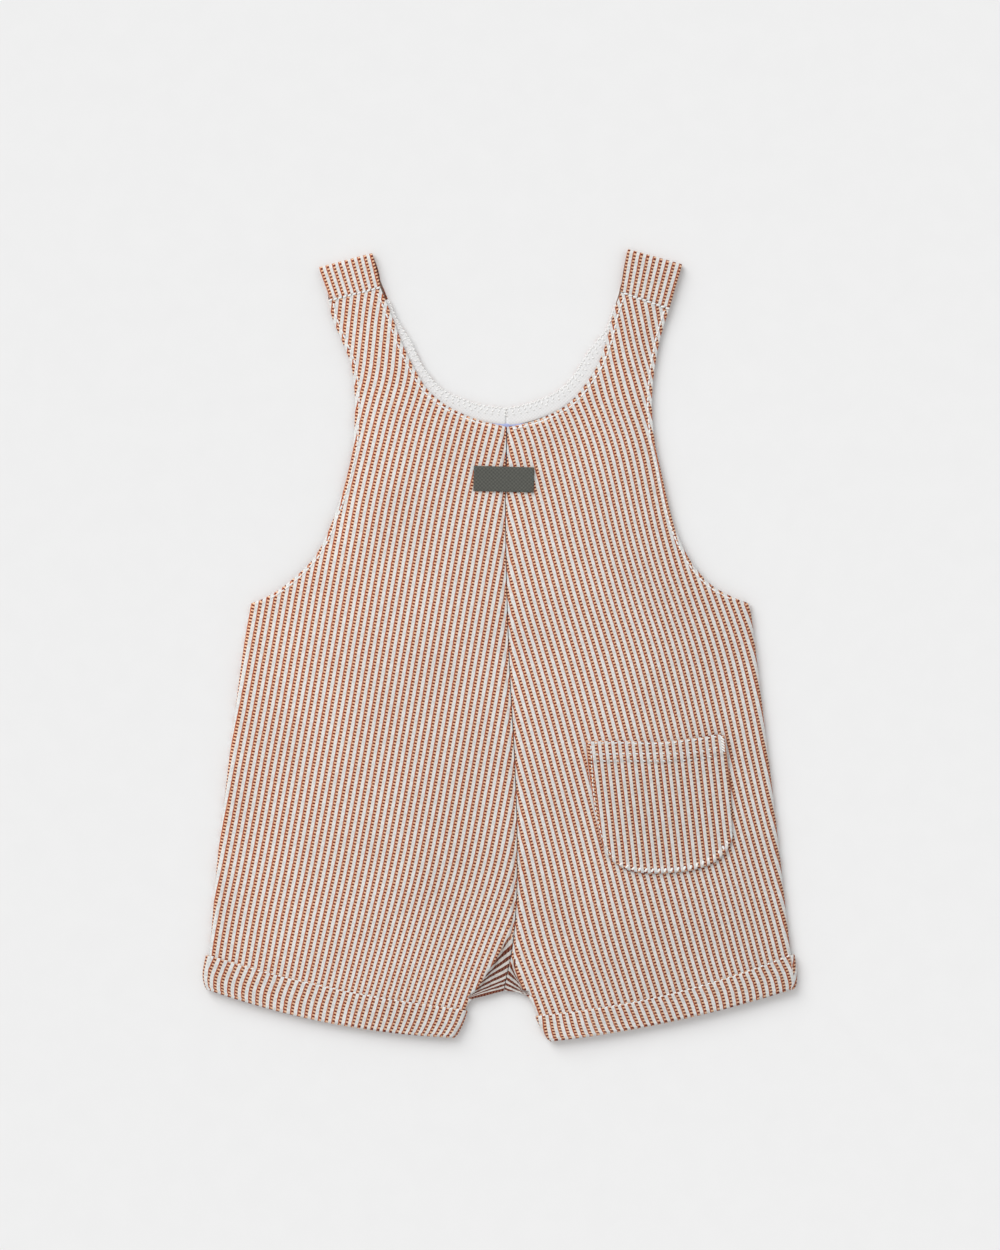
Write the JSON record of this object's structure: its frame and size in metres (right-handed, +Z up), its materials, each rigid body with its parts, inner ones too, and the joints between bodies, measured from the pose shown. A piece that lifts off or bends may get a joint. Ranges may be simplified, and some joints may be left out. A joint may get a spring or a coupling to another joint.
{
  "type": "striped baby dungarees with short legs",
  "caption": "Baby dungarees in brown and white striped knit, laid flat, with turned-up cuffs and a patch pocket.",
  "frame": {"origin": "centre of the bounding box, on the surface the garment lies on", "axes": "+X to the right as seen from above, toward the pocket's side, +Y toward the shoulder straps, +Z up from the surface, out of the front of the garment"},
  "size_m": [0.3149, 0.4196, 0.0085],
  "materials": {
    "striped_knit": "two-colour striped knit",
    "white_tape": "matt cotton tape",
    "label_weave": "woven label",
    "satin": "satin ribbon"
  },
  "bodies": {
    "root": {"front_left": "striped_knit", "front_right": "striped_knit", "back_left": "striped_knit", "back_right": "striped_knit", "cuff_left": "striped_knit", "cuff_right": "striped_knit", "pocket": "striped_knit", "chest_label": "label_weave", "neck_tape_left": "white_tape", "neck_tape_right": "white_tape", "neck_label": "satin"}
  },
  "joints": []
}
